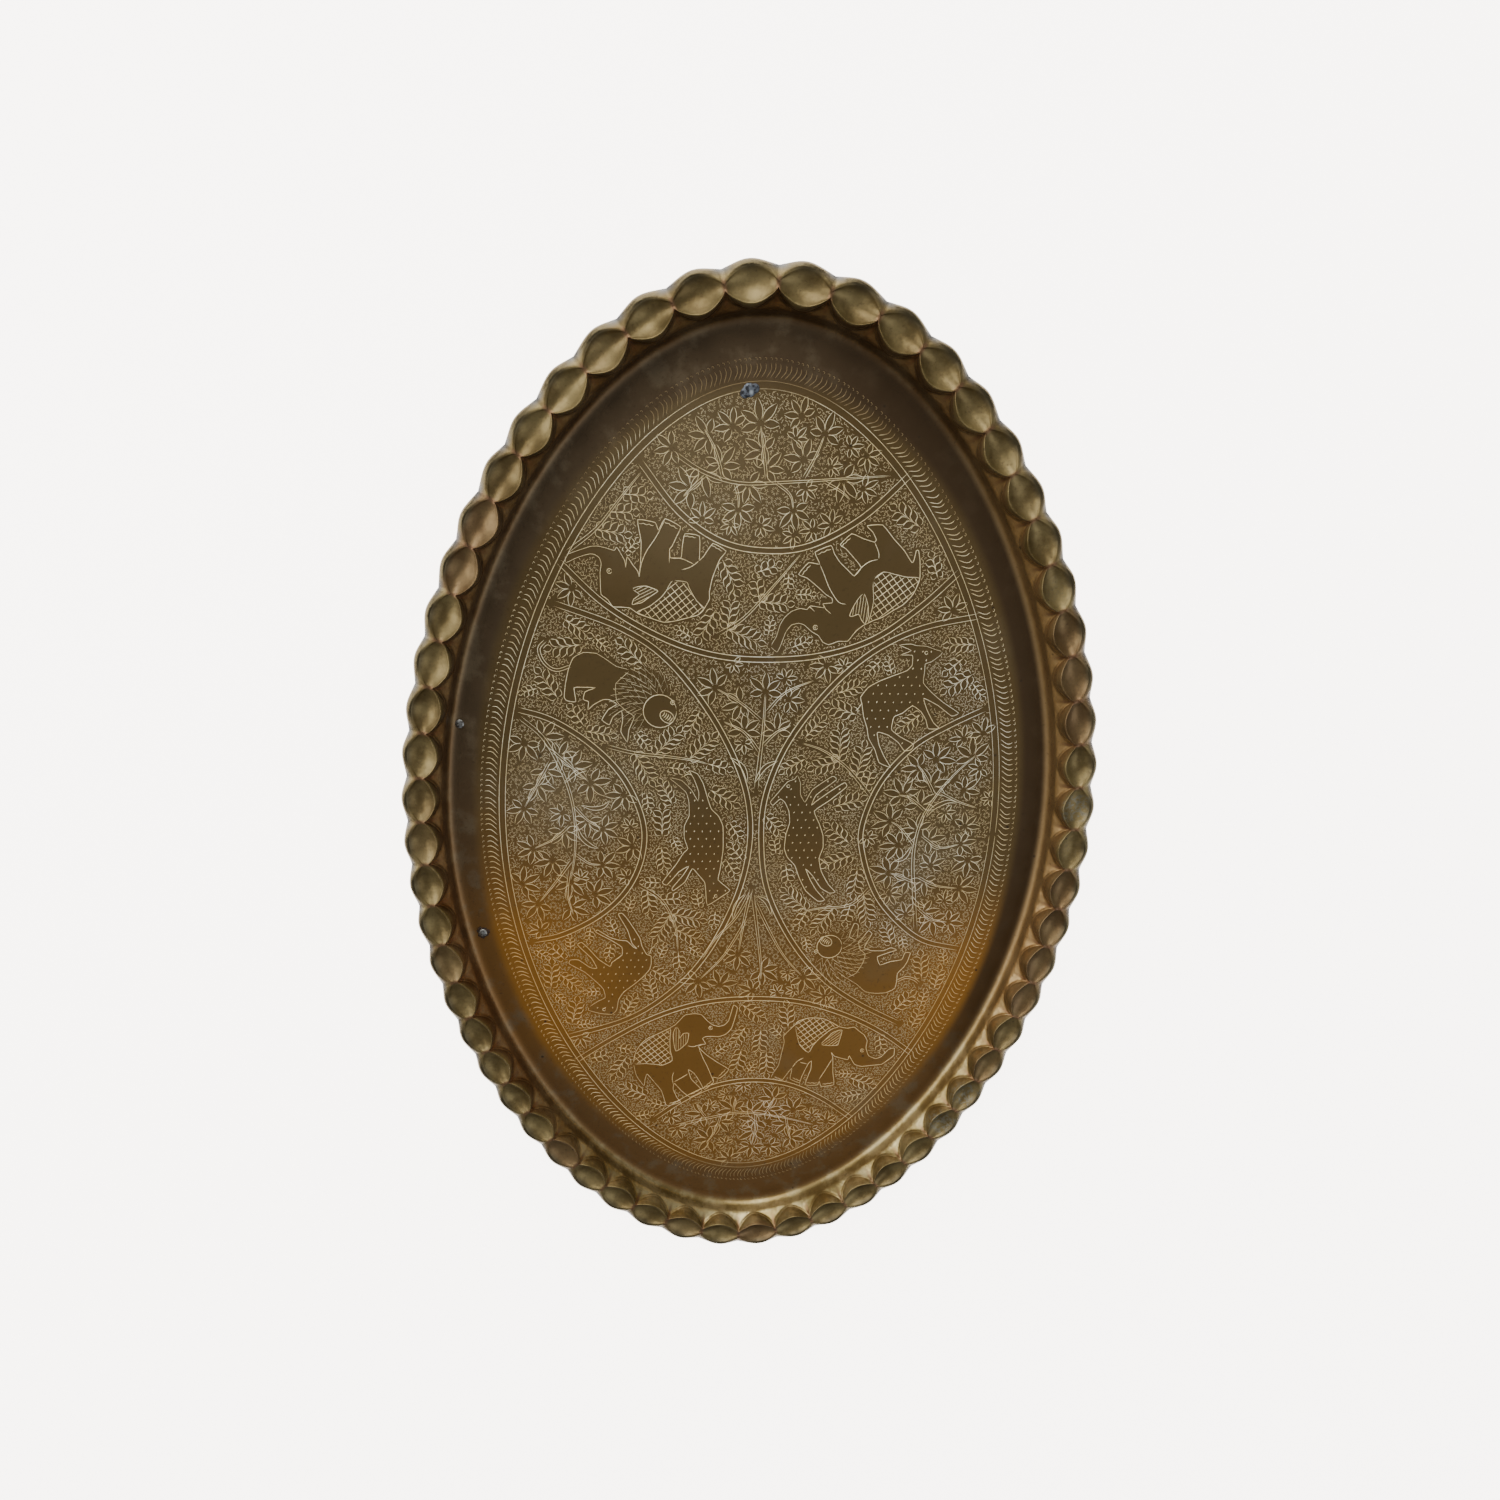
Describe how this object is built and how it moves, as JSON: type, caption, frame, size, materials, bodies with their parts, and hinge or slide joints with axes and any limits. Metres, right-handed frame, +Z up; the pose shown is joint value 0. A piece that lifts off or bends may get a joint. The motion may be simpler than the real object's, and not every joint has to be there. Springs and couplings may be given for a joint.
{
  "type": "serving tray",
  "caption": "Large oval brass tray with a flat engraved floor, a sloping wall and a rim hammered into a row of thumbprint bowls with a turned-down edge.",
  "frame": {"origin": "middle of the flat underside, on the table", "axes": "+Y along the tray, +X across it, +Z up out of the open side"},
  "size_m": [0.383, 0.565, 0.0222],
  "materials": {
    "aged_brass": "aged and tarnished brass, brighter on the wall and the bowls, brown on the floor",
    "line_polish": "bright cut edges and pale dried polish in the engraved lines",
    "rivet_metal": "worn white metal",
    "solder": "dull soft solder"
  },
  "bodies": {
    "root": {"tray_sheet": "aged_brass", "floor_rivets": "rivet_metal", "solder_plug": "solder"}
  },
  "joints": []
}
